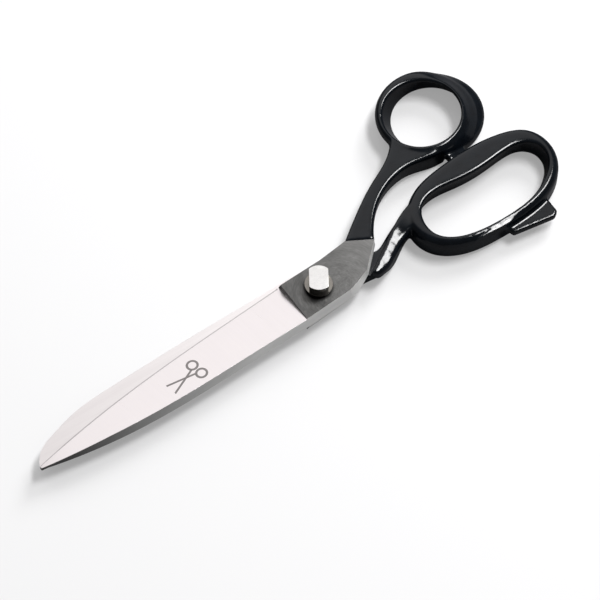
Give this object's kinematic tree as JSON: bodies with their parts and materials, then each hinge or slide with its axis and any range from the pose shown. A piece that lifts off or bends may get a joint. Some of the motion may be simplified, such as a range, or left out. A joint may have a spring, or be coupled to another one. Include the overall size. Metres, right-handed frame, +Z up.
{
  "type": "fabric shears",
  "caption": "Tailor's bent shears with broad steel blades, a flanged pivot screw and black lacquered bows, a round one for the thumb and a long one for the fingers.",
  "frame": {"origin": "centre of the lock nut's underside, on the pivot axis, where the closed shears rest on the table", "axes": "+Z up along the pivot axis to the screw head, blades along -X, bows along +X, thumb bow on the +Y side"},
  "size_m": [0.2606, 0.0943, 0.0177],
  "materials": {
    "ground_steel": "ground and polished blade face, finely ground matt ricasso",
    "black_lacquer": "glossy black lacquer on forged steel",
    "plated_steel": "bright nickel plate",
    "spring_steel": "dull tempered steel"
  },
  "bodies": {
    "finger_half": {"finger_blade": "ground_steel", "finger_bow": "black_lacquer", "pivot_screw": "plated_steel", "spring_washer": "spring_steel", "lock_nut": "plated_steel"},
    "thumb_half": {"thumb_blade": "ground_steel", "thumb_bow": "black_lacquer"}
  },
  "joints": [
    {"name": "pivot", "type": "hinge", "parent": "finger_half", "child": "thumb_half", "pos_m": [0, 0, 0.0088], "axis": [0, 0, 1], "range_deg": [0, 90]}
  ]
}
